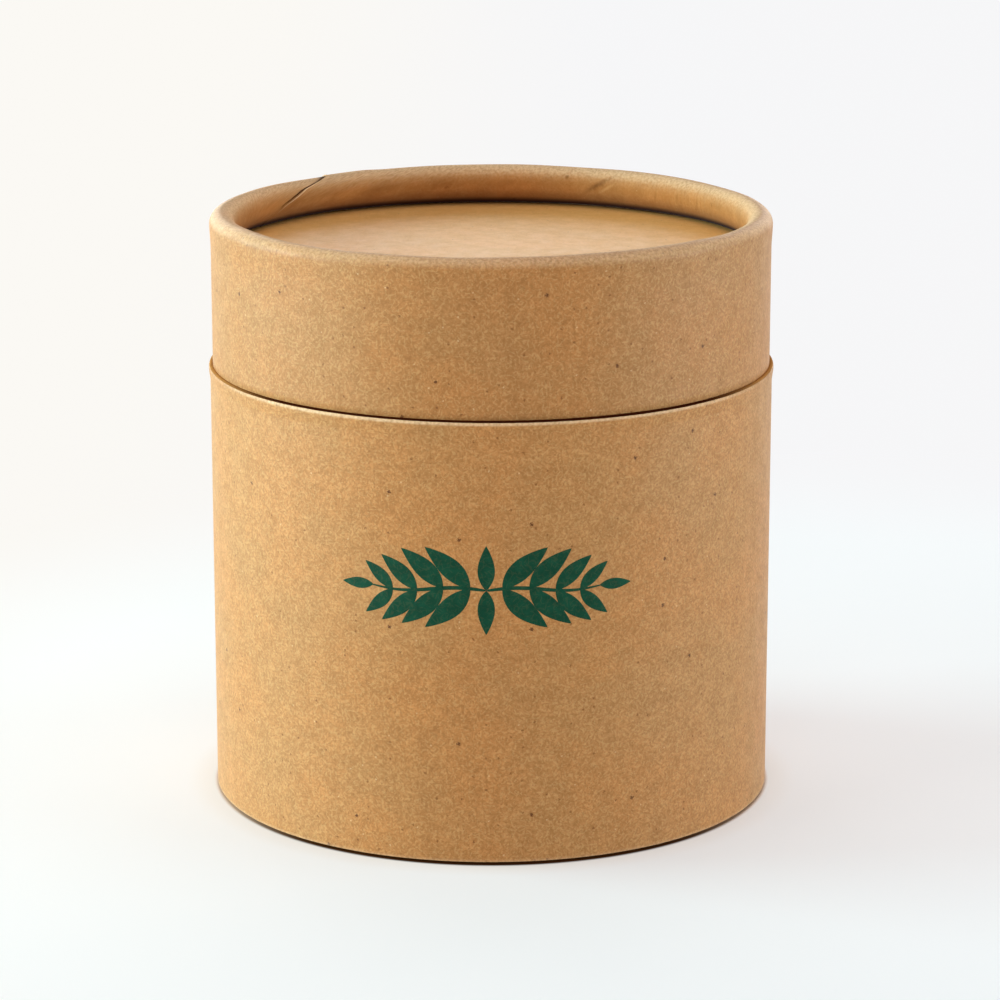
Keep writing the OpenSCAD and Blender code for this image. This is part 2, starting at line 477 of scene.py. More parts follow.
# A noise is (scale, detail, roughness), and its edge is the levels between which it sets in
kraftLook = {
    "warm": colour(0.566, 0.230, 0.067), "cool": colour(0.522, 0.233, 0.075),
    "shade": colour(0.262, 0.098, 0.022), "pale": colour(0.760, 0.490, 0.200),
    "highlightTone": colour(0.90, 0.61, 0.37),
    "highlightGrain": (0.35, 0.65, 0.45),  # levels of the grain, and the share of the painted highlight that is left above them
    "shadeTone": colour(0.022, 0.004, 0.001),
    "driftNoise": (0.06, 3, 0.55), "driftEdge": (0.35, 0.65),
    "cloudNoise": (0.3, 5, 0.62), "cloudEdge": (0.3, 0.7), "cloud": 0.34,
    "grainNoise": (1.9, 1.3, 0.55), "grainEdge": (0.34, 0.68), "grain": 0.27,
    "fibreDirections": (8, 52, 97, 143), "fibreShift": (7.3, 3.1, 1), "fibreNoise": (1, 1.1, 0.45),
    "fibreLength": 1.2, "fibreWidth": 0.34, "fibreBend": 1.0, "bendNoise": (0.45, 1),
    "lightFrom": 0.58, "darkFrom": 0.43, "fibreEdge": 0.13, "light": 0.20, "dark": 0.38,
    "spots": (spotLook(1.15, 0.22, 0.11, 0.42, colour(0.26, 0.090, 0.022)),
              spotLook(0.50, 0.09, 0.16, 0.75, colour(0.20, 0.062, 0.012)),
              spotLook(0.17, 0.09, 0.26, 0.92, colour(0.115, 0.028, 0.004)),
              spotLook(0.42, 0.05, 0.11, 0.35, colour(0.84, 0.60, 0.33))),
    "relief": 0.10, "reliefDepth": 0.02, "roughness": 0.55, "roughDrift": 0.05, "specular": 0.25,
    "sheen": 0.07, "sheenRoughness": 0.5,
}
discLook = dict(
    kraftLook, warm=colour(0.805, 0.404, 0.120), cool=colour(0.765, 0.404, 0.129),
    shade=colour(0.46, 0.20, 0.05), cloud=0.2, grain=0.14, light=0.12, dark=0.14, relief=0.2,
    roughness=0.48, specular=0.13, sheen=0.0, fibreLength=2.2, fibreDirections=(0, 12, 168, 90),
    spots=(spotLook(0.3, 0.05, 0.12, 0.6, colour(0.16, 0.06, 0.02)),))
liningLook = dict(kraftLook, warm=colour(0.56, 0.30, 0.122), cool=colour(0.53, 0.30, 0.130),
                  roughness=0.6)
discPaper = paperMaterial("discPaper", discLook)
liningPaper = paperMaterial("liningPaper", liningLook)


def boardMaterial(name, look):
    # Grey brown board: fine grain, coarser lumps and a faint relief, all in object space. Painted
    # shade can darken a part of it, such as the cut mouth in the gap under the lid
    material, tree, shader = newMaterial(name)
    place = addNode(tree, "TexCoord").outputs["Object"]
    grain = noise(tree, place, *look["grainNoise"])
    tone = mixColour(tree, rise(tree, grain, *look["grainEdge"]), look["pale"], look["tone"])
    lumps = rise(tree, noise(tree, place, *look["lumpNoise"]), *look["lumpEdge"])
    tone = mixColour(tree, times(tree, lumps, look["lumps"]), tone, look["shade"])
    # painted shade
    if "paintedShadeAt" in look:
        paintedShade = times(tree, placeMask(tree, placeOf(tree), look["paintedShadeAt"]), look["paintedShadeShare"])
        tone = mixColour(tree, paintedShade, tone, look["paintedShadeTone"])
    tree.links.new(tone, shader.inputs["Base Color"])
    addBump(tree, shader, grain, look)
    shader.inputs["Roughness"].default_value = look["roughness"]
    shader.inputs["Specular IOR Level"].default_value = look["specular"]
    return material


boardLook = {
    "tone": colour(0.36, 0.24, 0.14), "pale": colour(0.50, 0.36, 0.23), "shade": colour(0.20, 0.12, 0.07),
    "grainNoise": (3000, 4, 0.65), "grainEdge": (0.3, 0.7),
    "lumpNoise": (600, 2), "lumpEdge": (0.55, 0.8), "lumps": 0.5,
    "relief": 0.5, "reliefDepth": 0.05, "roughness": 0.85, "specular": 0.5,
}
board = boardMaterial("board", boardLook)


inkLook = {
    "tone": colour(0.001, 0.040, 0.019), "thin": colour(0.003, 0.056, 0.028),
    "patchNoise": (0.5, 4, 0.6), "patchEdge": (0.35, 0.7),
    "paper": colour(0.26, 0.18, 0.07), "bareNoise": (4.5, 3, 0.6), "bareEdge": (0.66, 0.8),
    "overFibres": 0.3, "bare": 0.22,
    "relief": 0.3, "reliefDepth": 0.02, "roughness": 0.6, "specular": 0.12,
}


def inkMaterial(look):
    # Dark ink on paper: it is thin over the fibre tops, where some paper tone comes through
    material, tree, shader = newMaterial("greenInk")
    sheet = sheetOf(tree)
    light, dark = paperFibres(tree, sheet, kraftLook)
    patch = rise(tree, noise(tree, sheet, *look["patchNoise"]), *look["patchEdge"])
    tone = mixColour(tree, patch, look["tone"], look["thin"])
    bare = rise(tree, noise(tree, sheet, *look["bareNoise"]), *look["bareEdge"])
    bare = calculate(tree, "MAXIMUM", bare, times(tree, light, look["overFibres"]))
    tone = mixColour(tree, times(tree, bare, look["bare"]), tone, look["paper"])
    tree.links.new(tone, shader.inputs["Base Color"])
    addBump(tree, shader, calculate(tree, "SUBTRACT", light, dark), look)
    shader.inputs["Roughness"].default_value = look["roughness"]
    shader.inputs["Specular IOR Level"].default_value = look["specular"]
    return material


greenInk = inkMaterial(inkLook)
print("materials made")


# Base wall: face paper and board

base = {
    "mouthFlare": 0.25, "flareHeight": 3.0, "mouthRound": 0.6,  # the cut mouth swells and is rounded
    "mouthDrop": 0.15,  # how far it stays below the frame's mouth
    "paper": 0.2, "paperOver": 40,  # the face paper ends after these degrees of the rounding
    "footRound": 0.06, "footPress": 0.8,
    "footLevel": (1, 1),  # the waves push level up to 1 mm, and square to the wall 1 mm above that
    "points": {"foot": 6, "wall": 30, "flare": 14, "mouth": 9, "edge": 5},
    "plies": 4, "notchHalf": 0.05, "notchDepth": 0.12,
    "boardUnder": 0.02, "boardTurn": 2,  # the bare edge lies under the paper's and starts past its end
    "edgeAt": 116, "edgeGap": 0.05, "overlap": 8.0, "ramp": 1.2,  # the paper's free edge, at the back
    "columns": 880, "boardColumns": 360,
    "edgeCrowd": (0.02, 9),  # half width in radians and extra density of the crowded columns
    "wallWaves": ((2, 0.035, 0.6), (3, 0.025, 2.0), (5, 0.012, 4.1)), "footWaves": 0.3,
}
wallRadius = mouthRadius - base["mouthFlare"]
mouthTop = baseTop - base["mouthDrop"]
baseLook = dict(kraftLook, paintedHighlight=(
    ((("height", mouthTop - 0.95, mouthTop - 0.5), ("front", 12, 46)), 0.68),  # painted highlight along the rounded mouth, strongest in front
    ((("height", 0.6, 0.1),), 0.22),  # painted highlight along the foot
))
# the cut mouth is darkened by painted shade in the gap under the lid, strongest in front
mouthBoardLook = dict(
    boardLook, tone=colour(0.37, 0.15, 0.04), pale=colour(0.45, 0.20, 0.06),
    paintedShadeAt=(("height", mouthTop - 0.9, mouthTop - 0.5), ("front", 14, 34)), paintedShadeShare=0.97,
    paintedShadeTone=colour(0.028, 0.003, 0.001), roughness=1.0, specular=0.0)
mouthBoard = boardMaterial("mouthBoard", mouthBoardLook)
kraftPaper = paperMaterial("kraftPaper", baseLook)


def baseLine():
    # A quarter of an ellipse round the foot, straight up the wall, out to the mouth along
    # 3x^2 - 2x^3, then part of a circle over it
    points, footRound = base["points"], base["footRound"]
    footZ = np.linspace(0, footRound, points["foot"])
    footR = wallRadius - footRound * (1 - np.sqrt(1 - (1 - footZ / footRound) ** 2)) * base["footPress"]
    flareFoot = mouthTop - base["flareHeight"]
    bendZ = mouthTop - base["mouthRound"]
    flareZ = np.linspace(flareFoot, bendZ, points["flare"])
    flareR = wallRadius + base["mouthFlare"] * ease(flareZ, flareFoot, bendZ - flareFoot)
    wall = straight((wallRadius, footRound), (wallRadius, flareFoot), points["wall"])
    centre = (mouthRadius - base["mouthRound"], bendZ)
    return joinLine((footR, footZ), wall, (flareR, flareZ),
                    arc(centre, base["mouthRound"], 0, base["paperOver"], points["mouth"]))


def wallPush(azimuth, height):
    # slow waves round the wall that grow with height and only draw it in
    deepest = sum(size for count, size, phase in base["wallWaves"])
    grown = base["footWaves"] + (1 - base["footWaves"]) * height / baseTop
    return (waves(azimuth, base["wallWaves"]) - deepest) * grown


def overlapPush(section, around, edgeHeight, overlap, ramp):
    # The doubled paper stands edgeHeight proud of the face from the ramp over its tucked end to
    # its free edge, where around, the length past the free edge, wraps from below 0 to 0
    raised = ease(around + overlap, -ramp, ramp) * (around < 0)
    return edgeHeight * raised * section["share"][:, None]


def signedAround(columns, radius):
    # length past the free edge, from minus half to plus half a turn
    return wrapped(columns)[None, :] * radius


def makeBasePaper(line):
    section = layerSection(line, 0, base["paper"])
    section["outZ"] = section["outZ"] * ease(section["z"], *base["footLevel"])  # level push at the foot
    gapTurn = base["edgeGap"] / wallRadius
    columns = columnsAround(base["columns"], ((0, *base["edgeCrowd"]),)) * (1 - gapTurn / fullTurn)
    azimuth = np.radians(base["edgeAt"]) + columns[None, :]
    around = signedAround(columns, wallRadius)
    push = wallPush(azimuth, section["z"][:, None])
    push = push + overlapPush(section, around, base["paper"], base["overlap"], base["ramp"])
    wrap = spin("baseFacePaper", section, azimuth, columns, kraftPaper, push, mapRadius=wallRadius)
    finishPiece(wrap, "base", "kraft_paper", "base_wrap")


def makeBaseBoard(line):
    # the board's section: the underside of the paper, the bare mouth, the bore and the cut foot
    under = (line["r"] - line["outR"] * base["paper"],
             np.maximum(line["z"] - line["outZ"] * base["paper"], 0))
    mouthRound, points = base["mouthRound"], base["points"]
    overEdge = arc((mouthRadius - mouthRound, mouthTop - mouthRound), mouthRound - base["boardUnder"],
                   base["paperOver"] + base["boardTurn"], 90, points["edge"])
    cuts = np.linspace(boreRadius, wallRadius - base["paper"], base["plies"] + 1)[1:-1]
    cutR, cutDepth = notches(cuts, base["notchHalf"], base["notchDepth"])
    bore = straight((boreRadius, mouthTop), (boreRadius, 0), points["wall"])
    tube = joinLine(under, overEdge, (cutR[::-1], mouthTop - cutDepth), bore, (cutR, cutDepth))
    columns = columnsAround(base["boardColumns"])
    piece = spin("baseBoardTube", tube, columns[None, :], columns, mouthBoard)
    finishPiece(piece, "base", "board", "base_tube")


wallLine = baseLine()
makeBasePaper(wallLine)
makeBaseBoard(wallLine)
print("base wall made")


# Neck, its papers and the foot of the box

neck = {
    "board": 0.9, "paper": 0.15, "plies": 3, "rows": 40, "columns": 300,
    "buttTurn": 0.02, "buttDepth": 0.06, "buttWidth": 0.14, "buttCrowd": (0.012, 10),
}


def tubeLayer(name, radius, ends, depths, material, body, slot, node, inside=False, plies=0, turn=0.0):
    # A straight layer; its face is the outside, or the inside where the line runs downwards.
    # Its butt line leans by turn, in radians for each millimetre of height
    start, end = ends[::-1] if inside else ends
    line = joinLine(straight((radius, start), (radius, end), neck["rows"]))
    section = layerSection(line, *depths, plies=plies)
    columns = columnsAround(neck["columns"], ((0, *neck["buttCrowd"]),))
    azimuth = columns[None, :] + turn * (section["z"][:, None] - ends[0])
    around = signedAround(columns, radius)
    push = -neck["buttDepth"] * bell(around, neck["buttWidth"]) * section["share"][:, None] * (plies == 0)
    piece = spin(name, section, azimuth, columns, material, push, mapRadius=radius)
    return finishPiece(piece, body, slot, node)


def makeNeck():
    ends, paper = heights("neck_tube"), (0, neck["paper"])
    tubeLayer("neckBoardTube", neckBoardRadius, ends, (0, neck["board"]), board, "base", "board",
              "neck_tube", plies=neck["plies"])
    tubeLayer("neckFacingPaper", boreRadius, ends, paper, liningPaper, "base", "lining_paper",
              "neck_facing", turn=neck["buttTurn"])
    tubeLayer("neckLiningPaper", insideRadius, ends, paper, liningPaper, "base", "lining_paper",
              "neck_lining", inside=True, turn=-neck["buttTurn"])


disc = {"bend": 0.3, "bendPoints": 5, "rows": 50, "columns": 300, "flatEdge": 6,
        "footSwell": 0.03, "lidSwell": 0.04, "liningSwell": 0.02}


def cockle(section, azimuth, size):
    # slow swells over a disc, as heights at x = r cos(azimuth), y = r sin(azimuth)
    x = section["r"][:, None] * np.cos(azimuth)
    y = section["r"][:, None] * np.sin(azimuth)
    swell = np.sin(0.071 * x + 0.9) * np.cos(0.063 * y - 0.4) + 0.6 * np.sin(0.13 * y + 0.05 * x + 2.0)
    return size * swell


def discPiece(name, line, thickness, pole, swell, material, body, slot, node):
    section = layerSection(line, 0, thickness, pole=pole)
    columns = columnsAround(disc["columns"])
    azimuth = columns[None, :]
    fade = ease(section["r"], section["r"].max(), -disc["flatEdge"])[:, None]
    lift = cockle(section, azimuth, swell) * fade
    piece = spin(name, section, azimuth, columns, material, lift=lift, poles=True)
    return finishPiece(piece, body, slot, node)


def upFace(radius, low, high):
    # up the turned down edge, a quarter circle over its corner, then in to the axis
    bend, few = disc["bend"], disc["bendPoints"]
    return joinLine(straight((radius, low), (radius, high - bend), few),
                    arc((radius - bend, high - bend), bend, 0, 90, few),
                    straight((radius - bend, high), (0, high), disc["rows"]))


def downFace(radius, low, high):
    # out from the axis, a quarter circle over the corner, then up the turned up edge
    bend, few = disc["bend"], disc["bendPoints"]
    return joinLine(straight((0, low), (radius - bend, low), disc["rows"]),
                    arc((radius - bend, low + bend), bend, -90, 0, few),
                    straight((radius, low + bend), (radius, high), few))


def makeFoot():
    line = downFace(boreRadius, *heights("base_disc_facing"))
    discPiece("footDiscPaper", line, base["paper"], "start", disc["footSwell"], discPaper, "base",
              "disc_paper", "base_disc_facing")
    low, high = heights("floor_liner")
    line = joinLine(straight((insideRadius, high), (0, high), disc["rows"]))
    discPiece("floorPaper", line, high - low, "end", disc["liningSwell"], liningPaper, "base",
              "lining_paper", "floor_liner")


makeNeck()
makeFoot()
print("neck and foot made")


# Lid with its curled rim

lid = {
    "board": 0.75, "paper": 0.2, "lining": 0.15, "plies": 2, "glue": 0.01,
    "rimFlare": 0.15, "flareHeight": 4.0, "outerCurl": 1.9, "innerCurl": 2.5, "curlGap": 0.4,
    "points": {"wall": 16, "flare": 8, "outer": 11, "inner": 14, "tail": 17},
    "footDrop": 0.58,  # wall and face paper hang this far below the lining
    "tailLift": 0.3, "tailFrom": (3.6, 3),  # the tail of the curl clears the disc
    "columns": 1000, "boardColumns": 360,
    # the rim rises and falls and is lumpy: (waves round it, mm, phase)
    "rimLift": ((1, 0.087, 2.714), (2, 0.078, -1.233), (3, 0.139, -2.351)), "rimDrop": -0.02,
    "highest": 0.19, "rimFrom": (0.3, 4.0),
    "lumps": ((4, 0.05, 0.3), (7, 0.04, 1.9), (11, 0.03, 4.4), (17, 0.015, 2.6)), "wallLumps": 0.3,
    "edgeAt": 131.5, "edgeGap": 0.05, "edgeCrowd": (0.03, 9), "overlap": 8.0,
    "ramp": 1.2, "rampInside": 4.5, "rampFrom": (-3, 3),  # wider inside the rim
    # inside the rim the free edge leans and lifts: degrees and mm at depths below the rim's top
    "leanDepths": (0.0, 1.3, 3.3, 6.9), "leanDegrees": (-1.3, 7.7, 15.6, 23.0), "leanSpread": 25,
    "edgeDepths": (0, 1.5, 3.5, 4.6), "edgeHeights": (0.2, 0.38, 0.2, 0.08),
    # the open crease beside it and the ear at its head: ridges of (mm, mm past the edge, width)
    "creaseReach": ((0, 0.6), (3.9, -1.0)),
    "creaseDip": (-0.18, 0.24, 0.22), "creaseSwell": (0.08, -0.55, 0.5),
    "ear": (0.12, -0.1, 0.45), "earRun": (1, 0.4, 0.9),
    # the second fold, whose degrees follow its depths
    "foldDepths": (0.6, 1.5, 2.5, 4.0), "foldDegrees": (58.5, 61.0, 63.6, 66.6),
    "foldReach": ((0.3, 0.6), (4.4, -1.2)), "foldCrowd": (0.05, 3),
    "foldSwell": (0.10, -0.5, 0.45), "foldDip": (-0.14, 0.12, 0.3),
    # gathers of the curl, in degrees, with their step in mm and beats against it
    "gathers": 0.034, "gatherStep": 0.62, "gatherFrom": 18, "gatherTo": 52, "gatherFades": (8, -10),
    "gatherReach": ((0.8, 1.2), (6.2, -2)), "gatherCrowd": (0.25, 1.5),
    "gatherBeats": ((1, 0.5, 0), (1.37, 0.4, 1), (0.61, 0.5, 2), (0.27, 0.4, 4)),
}
lidRadius = rimRadius - lid["rimFlare"]
rimTop = cadHigh.z / mm - lid["paper"]


def lidLine():
    # Up the wall, out to the rim along 3x^2 - 2x^3, a quarter circle over the top outwards and
    # one inwards, and a tail that runs back out to the disc on a third, wider circle. The tail's
    # radius makes its cut end stop curlGap short of the inside of the wall
    points = lid["points"]
    outerZ, innerZ = rimTop - lid["outerCurl"], rimTop - lid["innerCurl"]
    curlAt = rimRadius - lid["outerCurl"]
    innerAt = curlAt - lid["innerCurl"]
    skin = lid["board"] + lid["paper"]
    tailWidth = lidBoreRadius - lid["curlGap"] - innerAt
    tailHeight = innerZ - lidDiscTop
    tailRadius = (tailWidth ** 2 + tailHeight ** 2 - skin ** 2) / (2 * (tailWidth - skin))
    tailTurn = np.degrees(np.arcsin(tailHeight / tailRadius))
    flareFoot = outerZ - lid["flareHeight"]
    flareZ = np.linspace(flareFoot, outerZ, points["flare"])
    flareR = lidRadius + lid["rimFlare"] * ease(flareZ, flareFoot, lid["flareHeight"])
    wall = straight((lidRadius, lidFoot - lid["footDrop"]), (lidRadius, flareFoot), points["wall"])
    return joinLine(wall, (flareR, flareZ),
                    arc((curlAt, outerZ), lid["outerCurl"], 0, 90, points["outer"]),
                    arc((curlAt, innerZ), lid["innerCurl"], 90, 180, points["inner"]),
                    arc((innerAt + tailRadius, innerZ), tailRadius, 180, 180 + tailTurn, points["tail"]))


def lidShape(section, columns, crest):
    # Returns azimuth, push, lift and depth of the rolled wall. Depth is how far a point of the
    # inside of the rim lies below its top; the wall outside counts as depth 0
    inside = (section["run"] > crest)[:, None]
    depth = np.where(inside, rimTop - section["z"][:, None], 0)
    lean = np.interp(depth, lid["leanDepths"], lid["leanDegrees"])
    spread = bell(wrapped(columns[None, :]), np.radians(lid["leanSpread"]))
    azimuth = np.radians(lid["edgeAt"] + lean * spread) + columns[None, :]
    onRim = ease(section["z"] - lidDiscTop, *lid["rimFrom"])[:, None]
    lumps = waves(azimuth, lid["lumps"])
    most = lid["highest"] - np.maximum(lumps, 0)
    lift = np.minimum(lid["rimDrop"] + waves(azimuth, lid["rimLift"]), most) * onRim
    lift = lift + lid["tailLift"] * ease(depth, *lid["tailFrom"])
    push = lumps * (lid["wallLumps"] + (1 - lid["wallLumps"]) * onRim)
    return azimuth, push, lift, depth


# Marks on the inside of the rim: degrees past the free edge, mm past the crest, lean, half
# length, half width, raggedness, strength and tone. Most are painted shade and painted highlights
rimMarks = (
    (0.25, 1.9, 90, 4.6, 1.35, 0.3, 0.88, colour(0.045, 0.012, 0.002)),  # painted shade in the open crease
    (0.15, 0.2, 90, 2.0, 2.40, 0.3, 1.0, colour(0.060, 0.018, 0.003)),  # painted shade at its head, over the crest
    (-0.50, 3.6, 90, 3.0, 0.40, 0.3, 0.50, colour(0.95, 0.70, 0.42)),  # painted highlight on its lifted edge
    (-67.7, 4.1, 28.6, 4.6, 0.80, 0.7, 0.66, colour(0.10, 0.028, 0.005)),  # painted shade in the second fold
    (-70.0, 4.6, 28.6, 2.8, 0.5, 0.6, 0.20, colour(0.95, 0.58, 0.24)),  # painted highlight on the light side of it
    (-59.9, 2.9, 60, 0.7, 0.5, 0.5, 0.60, colour(0.16, 0.052, 0.012)),  # painted shade in a nick
    (-2.0, 4.8, 0, 8.5, 2.2, 1.0, 0.42, colour(0.17, 0.056, 0.011)),  # soft dark patches
    (-20.0, 4.6, 4, 5.2, 1.8, 1.0, 0.34, colour(0.20, 0.066, 0.013)),
    (-33.0, 4.2, -6, 4.6, 1.6, 1.0, 0.34, colour(0.20, 0.066, 0.013)),
    (-46.0, 4.4, 3, 5.0, 1.4, 1.0, 0.30, colour(0.22, 0.074, 0.015)),
    (-84.0, 4.7, 75, 2.0, 0.5, 0.7, 0.34, colour(0.24, 0.086, 0.020)),  # painted shade in the creases of the gathers
    (-91.0, 4.4, 80, 1.8, 0.4, 0.7, 0.30, colour(0.24, 0.086, 0.020)),
    (-98.0, 5.0, 70, 2.0, 0.5, 0.7, 0.34, colour(0.24, 0.086, 0.020)),
)


def lidMaterial(crest, end):
    # the paper is smooth inside the rim, with painted highlights along its top and just inside it, and
    # painted shade towards the disc
    rimMarksAndLight = [{"at": (np.radians(turn % 360) * lidRadius, crest + run), "lean": lean, "length": length,
                "width": width, "fray": fray, "strength": strength, "tone": tone}
               for turn, run, lean, length, width, fray, strength, tone in rimMarks]
    return paperMaterial("lidPaper", dict(
        kraftLook, warm=colour(0.514, 0.204, 0.058), cool=colour(0.473, 0.207, 0.066), rimMarksAndLight=rimMarksAndLight,
        smoothAt=(("run", crest - 1.3, crest + 0.1),), smoothing=0.7,
        # painted highlights along the top of the rim and just inside it, past the crest
        paintedHighlight=(((("height", rimTop - 1.8, rimTop - 0.4),), 0.40),
              ((("run", crest - 0.3, crest + 0.5), ("run", crest + 4.6, crest + 0.9)), 0.42)),
        # painted shade towards the disc
        shaded=(((("run", end - 4.0, end - 1.0),), 0.42), ((("run", end - 1.7, end - 0.4),), 0.97))))


def creasePush(section, around, depth, pastCrest):
    # the doubled paper up to its free edge, lifted on the curl, and the open crease beside it
    edgeHeight = np.interp(depth, lid["edgeDepths"], lid["edgeHeights"])
    ramp = lid["ramp"] + lid["rampInside"] * ease(pastCrest, *lid["rampFrom"])
    crease = ridge(around, *lid["creaseDip"]) + ridge(around, *lid["creaseSwell"])
    return (overlapPush(section, around, edgeHeight, lid["overlap"], ramp)
            + crease * window(depth, lid["creaseReach"]))


def foldPush(azimuth, depth):
    # a swell and a dip side by side along a leaning line
    foldAt = np.radians(np.interp(depth, lid["foldDepths"], lid["foldDegrees"]))
    across = wrapped(azimuth - foldAt) * lidRadius
    fold = ridge(across, *lid["foldSwell"]) + ridge(across, *lid["foldDip"])
    return window(depth, lid["foldReach"]) * fold


def gatherPush(azimuth, depth):
    # fine waves round the inside of the rim, uneven because several beats are summed
    starts = (lid["gatherFrom"], lid["gatherTo"])
    shown = window(np.degrees(azimuth) % 360, zip(starts, lid["gatherFades"]))
    count = fullTurn * lidRadius / lid["gatherStep"]
    beat = waves(azimuth, [(count * rate, size, phase) for rate, size, phase in lid["gatherBeats"]])
    return lid["gathers"] * beat * shown * window(depth, lid["gatherReach"])


def makeLidPaper(line, crest):
    gapTurn = lid["edgeGap"] / lidRadius
    foldAt = (lid["foldDegrees"][0] + lid["foldDegrees"][1]) / 2
    gatherAt = (lid["gatherFrom"] + lid["gatherTo"]) / 2
    fold, gather = (np.radians(degrees - lid["edgeAt"]) % fullTurn for degrees in (foldAt, gatherAt))
    crowded = ((0, *lid["edgeCrowd"]), (fold, *lid["foldCrowd"]), (gather, *lid["gatherCrowd"]))
    columns = columnsAround(lid["columns"], crowded) * (1 - gapTurn / fullTurn)
    section = layerSection(line, 0, lid["paper"])
    azimuth, push, lift, depth = lidShape(section, columns, crest)
    around = signedAround(columns, lidRadius)
    pastCrest = section["run"][:, None] - crest
    push = push + creasePush(section, around, depth, pastCrest)
    push = push + foldPush(azimuth, depth) + gatherPush(azimuth, depth)
    lift = lift + ridge(around, *lid["ear"]) * ridge(pastCrest, *lid["earRun"])
    material = lidMaterial(crest, line["run"][-1])
    wrap = spin("lidFacePaper", section, azimuth, columns, material, push, lift, mapRadius=lidRadius)
    finishPiece(wrap, "lid", "kraft_paper", "lid_wrap")


def makeLidBoard(line, crest):
    paper = lid["paper"]
    section = layerSection(line, paper + lid["glue"], paper + lid["board"], plies=lid["plies"])
    columns = columnsAround(lid["boardColumns"])
    azimuth, push, lift = lidShape(section, columns, crest)[:3]
    tube = spin("lidBoardTube", section, azimuth, columns, board, push, lift)
    finishPiece(tube, "lid", "board", "lid_tube")


def makeLidInside():
    line = upFace(lidBoreRadius, *heights("lid_disc_facing"))
    discPiece("lidDiscPaper", line, lid["paper"], "end", disc["lidSwell"], discPaper, "lid",
              "disc_paper", "lid_disc_facing")
    low, high = heights("lid_disc_liner")
    line = joinLine(straight((0, low), (lidBoreRadius, low), disc["rows"]))
    discPiece("ceilingPaper", line, high - low, "start", disc["liningSwell"], liningPaper, "lid",
              "lining_paper", "lid_disc_liner")
    tubeLayer("lidLiningPaper", lidBoreRadius - lid["lining"], heights("lid_lining"), (0, lid["lining"]),
              liningPaper, "lid", "lining_paper", "lid_lining", inside=True, turn=neck["buttTurn"])


rolledLine = lidLine()
rolledCrest = rolledLine["run"][np.argmax(rolledLine["z"])]
makeLidPaper(rolledLine, rolledCrest)
makeLidBoard(rolledLine, rolledCrest)
makeLidInside()
for name in ("base_disc", "lid_disc"):  # the frame's own two board discs stay, with the board's look
    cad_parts[name].data.materials.clear()
    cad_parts[name].data.materials.append(board)
print("lid made")


# Printed leaf sprig, a plain ornament

sprig = {
    "middle": -91.0, "height": 46.1,  # degrees round the axis and mm above the foot
    "leafAt": (2.6, 7.0, 11.3, 15.4), "leafLength": (9.9, 9.3, 8.1, 6.4), "leafWidth": 3.5,
    "leafAngle": 49, "leafBend": 0.12, "leafGrid": (25, 20),
    "tipLength": 5.6, "tipWidth": 1.9, "tipTuck": 0.4, "middleLength": 7.4, "middleWidth": 2.9,
    "stemWidth": 0.8, "stemEnd": 19.2, "stemWave": 0.4, "stemStep": 3, "stemGrid": (60, 16),
    "halfThickness": 0.018, "proud": 0.004,
    "mapShift": 1000,  # takes the ink's patches from another part of the sheet
    "weld": 1e-7,  # m, closes the leaf tips
}


def flattened(wave, power):
    # a sine or cosine with its size raised to a power, which squares a round section
    return np.sign(wave) * np.abs(wave) ** power


def motifGrid(rows, columns):
    # t from 0 to 1 down the rows and a full turn round the columns
    t = np.linspace(0, 1, rows)[:, None]
    around = np.linspace(0, fullTurn, columns + 1)[:-1][None, :]
    return t, around, flattened(np.sin(around), 0.3) + 0 * t


def leafGrid(start, degrees, length, width, bend):
    # Middle line: start + t * length along the leaf, bent sideways by bend * t^2. Half width is
    # width / 2 * sin(pi t)^0.8 * (1.2 - 0.5 t), and a flat closed loop goes round it
    t, around, out = motifGrid(*sprig["leafGrid"])
    half = width / 2 * np.sin(np.pi * t) ** 0.8 * (1.2 - 0.5 * t)
    across = half * flattened(np.cos(around), 0.9)
    along, side = t * length + 0 * across, across + bend * t ** 2
    turn = np.radians(degrees)
    x = start[0] + along * np.cos(turn) - side * np.sin(turn)
    z = start[1] + along * np.sin(turn) + side * np.cos(turn)
    return x, z, out


def stemHeight(x):
    # z = stemWave * sin(x / stemStep)
    return sprig["stemWave"] * np.sin(x / sprig["stemStep"])


def stemGrid(side):
    # Middle line at stemHeight. Half width is stemWidth / 2 * sin(pi t)^0.25 * (1 - 0.45 t)
    t, around, out = motifGrid(*sprig["stemGrid"])
    half = sprig["stemWidth"] / 2 * np.sin(np.pi * t) ** 0.25 * (1 - 0.45 * t)
    x = side * (t * sprig["stemEnd"]) + 0 * around
    return x, half * np.cos(around) + stemHeight(np.abs(x)), out


def sprigMotifs():
    # a stem, pairs of leaves and a tip leaf to each side, and two leaves across the middle
    motifs = []
    for side in (1, -1):
        motifs.append(stemGrid(side))
        for at, length in zip(sprig["leafAt"], sprig["leafLength"]):
            start = (side * at, stemHeight(at))
            width = sprig["leafWidth"] * length / sprig["leafLength"][0]
            for up in (1, -1):
                degrees = up * sprig["leafAngle"] if side == 1 else 180 - up * sprig["leafAngle"]
                bend = -up * side * sprig["leafBend"] * length
                motifs.append(leafGrid(start, degrees, length, width, bend))
        tip = (side * (sprig["stemEnd"] - sprig["tipTuck"]), stemHeight(sprig["stemEnd"]))
        motifs.append(leafGrid(tip, 0 if side == 1 else 180, sprig["tipLength"], sprig["tipWidth"], 0))
    for up in (1, -1):
        motifs.append(leafGrid((0, 0), 90 * up, sprig["middleLength"], sprig["middleWidth"], 0))
    return motifs


